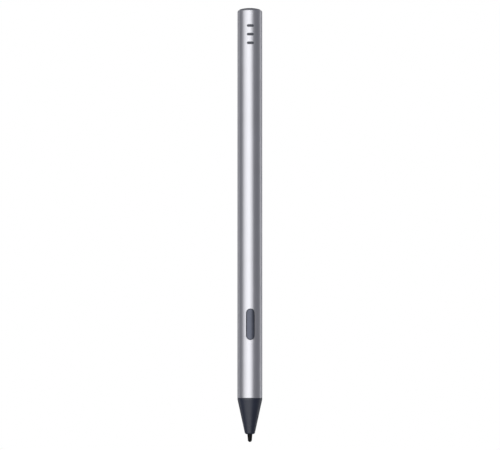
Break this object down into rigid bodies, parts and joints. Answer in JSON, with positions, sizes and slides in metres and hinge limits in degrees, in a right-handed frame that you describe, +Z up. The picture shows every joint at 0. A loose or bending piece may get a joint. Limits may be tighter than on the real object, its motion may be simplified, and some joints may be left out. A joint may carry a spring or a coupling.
{
  "type": "active stylus pen",
  "caption": "Slim rechargeable stylus pen for writing on a tablet screen, with a metal barrel, a sprung replaceable nib, a side key and a charge socket.",
  "frame": {"origin": "the nib's tip, on the pen's axis", "axes": "+Z up the pen's axis from the nib to the tail, -Y out of the side key, +Y out of the magnetic flat and the charge socket"},
  "size_m": [0.0092, 0.0095, 0.16],
  "materials": {
    "barrel_metal": "bead-blasted, satin anodised",
    "nose_plastic": "satin moulded",
    "tail_plastic": "satin moulded",
    "nib_plastic": "fine matt, low friction",
    "key_plastic": "satin moulded",
    "carrier_plastic": "moulded, glass filled",
    "white_plastic": "natural acetal",
    "rubber": "moulded",
    "silicone": "translucent, moulded",
    "foam": "cut sheet",
    "spring_steel": "drawn wire",
    "can_steel": "pressed tinplate",
    "screw_steel": "blackened",
    "magnet": "nickel plated",
    "brass": "turned",
    "gold_plate": "gold plated",
    "board": "solder mask",
    "chip_black": "moulded epoxy",
    "cell_wrap": "shrink film",
    "wire_red": "sleeved wire",
    "flex": "polyimide film",
    "port_steel": "drawn shell, nickel plated",
    "port_plastic": "moulded",
    "clear": "clear, moulded"
  },
  "bodies": {
    "pen": {"barrel": "barrel_metal", "nose_cone": "nose_plastic", "tail_plug": "tail_plastic", "tail_seal": "rubber", "return_spring": "spring_steel", "guide_bush": "white_plastic", "tilt_ring": "gold_plate", "sensor_cup": "carrier_plastic", "fixed_plate": "gold_plate", "front_carrier": "carrier_plastic", "main_board": "board", "board_chips": "chip_black", "shield_can": "can_steel", "carrier_screws": "screw_steel", "bar_magnets": "magnet", "key_pads": "silicone", "key_bracket": "carrier_plastic", "switch_body": "can_steel", "rear_carrier": "carrier_plastic", "battery_cell": "cell_wrap", "battery_pads": "foam", "battery_leads": "wire_red", "link_flex": "flex", "charge_board": "board", "charge_chips": "chip_black", "socket_shell": "port_steel", "socket_tongue": "port_plastic", "socket_contacts": "gold_plate", "light_pipe": "clear"},
    "nib_train": {"nib_holder": "brass", "pressure_rod": "white_plastic", "moving_plate": "gold_plate"},
    "nib": {"nib": "nib_plastic"},
    "side_key": {"side_key": "key_plastic"},
    "switch_plunger": {"switch_plunger": "chip_black"}
  },
  "joints": [
    {"name": "nib_press", "type": "slide", "parent": "pen", "child": "nib_train", "axis": [0, 0, 1], "range_m": [0, 0.0003], "stiffness_N_per_m": 6000, "springref_m": -0.0001, "deforming": ["return_spring"]},
    {"name": "nib_pull", "type": "slide", "parent": "nib_train", "child": "nib", "axis": [0, 0, -1], "range_m": [0, 0.012]},
    {"name": "key_press", "type": "slide", "parent": "pen", "child": "side_key", "axis": [0, 1, 0], "range_m": [0, 0.00025], "stiffness_N_per_m": 5000, "springref_m": -0.00005, "deforming": ["key_pads"]},
    {"name": "switch_press", "type": "slide", "parent": "pen", "child": "switch_plunger", "axis": [0, 1, 0], "range_m": [0, 0.00025]}
  ],
  "couplings": [
    {"joint": "switch_press", "follows": "key_press", "ratio": 1}
  ]
}
